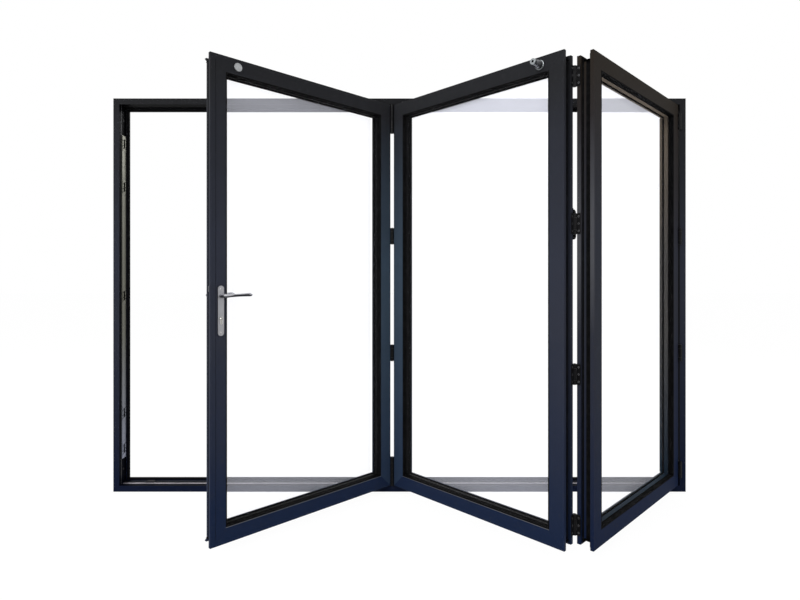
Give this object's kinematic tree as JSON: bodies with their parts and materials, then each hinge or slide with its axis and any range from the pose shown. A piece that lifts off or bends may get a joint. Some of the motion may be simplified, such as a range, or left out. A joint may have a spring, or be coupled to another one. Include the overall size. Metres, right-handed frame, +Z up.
{
  "type": "bifold door",
  "caption": "Glazed folding door in an aluminium outer frame, its leaves part folded to the right, with a lever handle on the lead leaf.",
  "frame": {"origin": "centre of the sill's underside, at the middle of the frame's depth", "axes": "+X along the frame to the right seen from outside, +Y indoors, +Z up"},
  "size_m": [3.05, 0.7892, 2.096],
  "materials": {
    "powder_coat": "satin powder coat",
    "track_metal": "mill finish",
    "keep_metal": "satin",
    "spacer_metal": "dark warm edge bar",
    "seal_rubber": "matt",
    "black_nylon": "matt",
    "hinge_black": "satin black",
    "pin_steel": "satin",
    "satin_steel": "satin",
    "lever_steel": "polished satin",
    "cylinder_nickel": "satin nickel",
    "magnet_chrome": "bright",
    "clear_glass": "clear float"
  },
  "bodies": {
    "door": {"left_jamb": "powder_coat", "right_jamb": "powder_coat", "head": "powder_coat", "sill": "powder_coat", "head_track": "hinge_black", "sill_track": "track_metal", "frame_gasket": "seal_rubber", "lock_keep_strip": "keep_metal", "run_up_block": "black_nylon", "glass_spacer_bars": "spacer_metal", "glazing_gaskets": "seal_rubber", "jamb_hinge_frame_flaps": "hinge_black", "jamb_hinge_leaf_flaps": "hinge_black", "inner_hinge_leaf_2_flaps": "hinge_black", "inner_hinge_leaf_3_flaps": "hinge_black", "centre_hinge_leaf_1_flaps": "hinge_black", "centre_hinge_leaf_2_flaps": "hinge_black", "hinge_pins": "pin_steel", "bottom_carriage": "hinge_black", "top_carriage": "hinge_black", "pull_handle": "hinge_black", "outer_backplate": "satin_steel", "inner_backplate": "satin_steel", "lock_cylinder": "cylinder_nickel", "lock_faceplate": "keep_metal", "shootbolt_faceplate": "hinge_black", "magnet_disc": "magnet_chrome", "magnet_boss": "magnet_chrome", "leaf_1_left_stile": "powder_coat", "leaf_1_right_stile": "powder_coat", "leaf_1_top_rail": "powder_coat", "leaf_1_bottom_rail": "powder_coat", "leaf_1_glazing_beads": "powder_coat", "leaf_1_glass_panes": "clear_glass", "leaf_2_left_stile": "powder_coat", "leaf_2_right_stile": "powder_coat", "leaf_2_top_rail": "powder_coat", "leaf_2_bottom_rail": "powder_coat", "leaf_2_glazing_beads": "powder_coat", "leaf_2_glass_panes": "clear_glass", "leaf_3_left_stile": "powder_coat", "leaf_3_right_stile": "powder_coat", "leaf_3_top_rail": "powder_coat", "leaf_3_bottom_rail": "powder_coat", "leaf_3_glazing_beads": "powder_coat", "leaf_3_glass_panes": "clear_glass"},
    "lever": {"outer_lever": "lever_steel", "inner_lever": "lever_steel"}
  },
  "joints": [
    {"name": "lever_turn", "type": "hinge", "parent": "door", "child": "lever", "pos_m": [-0.73464, -0.69596, 1.065], "axis": [-0.6867, 0.7269, 0], "range_deg": [0, 35], "stiffness_Nm_per_rad": 2, "springref_deg": -17.19}
  ]
}
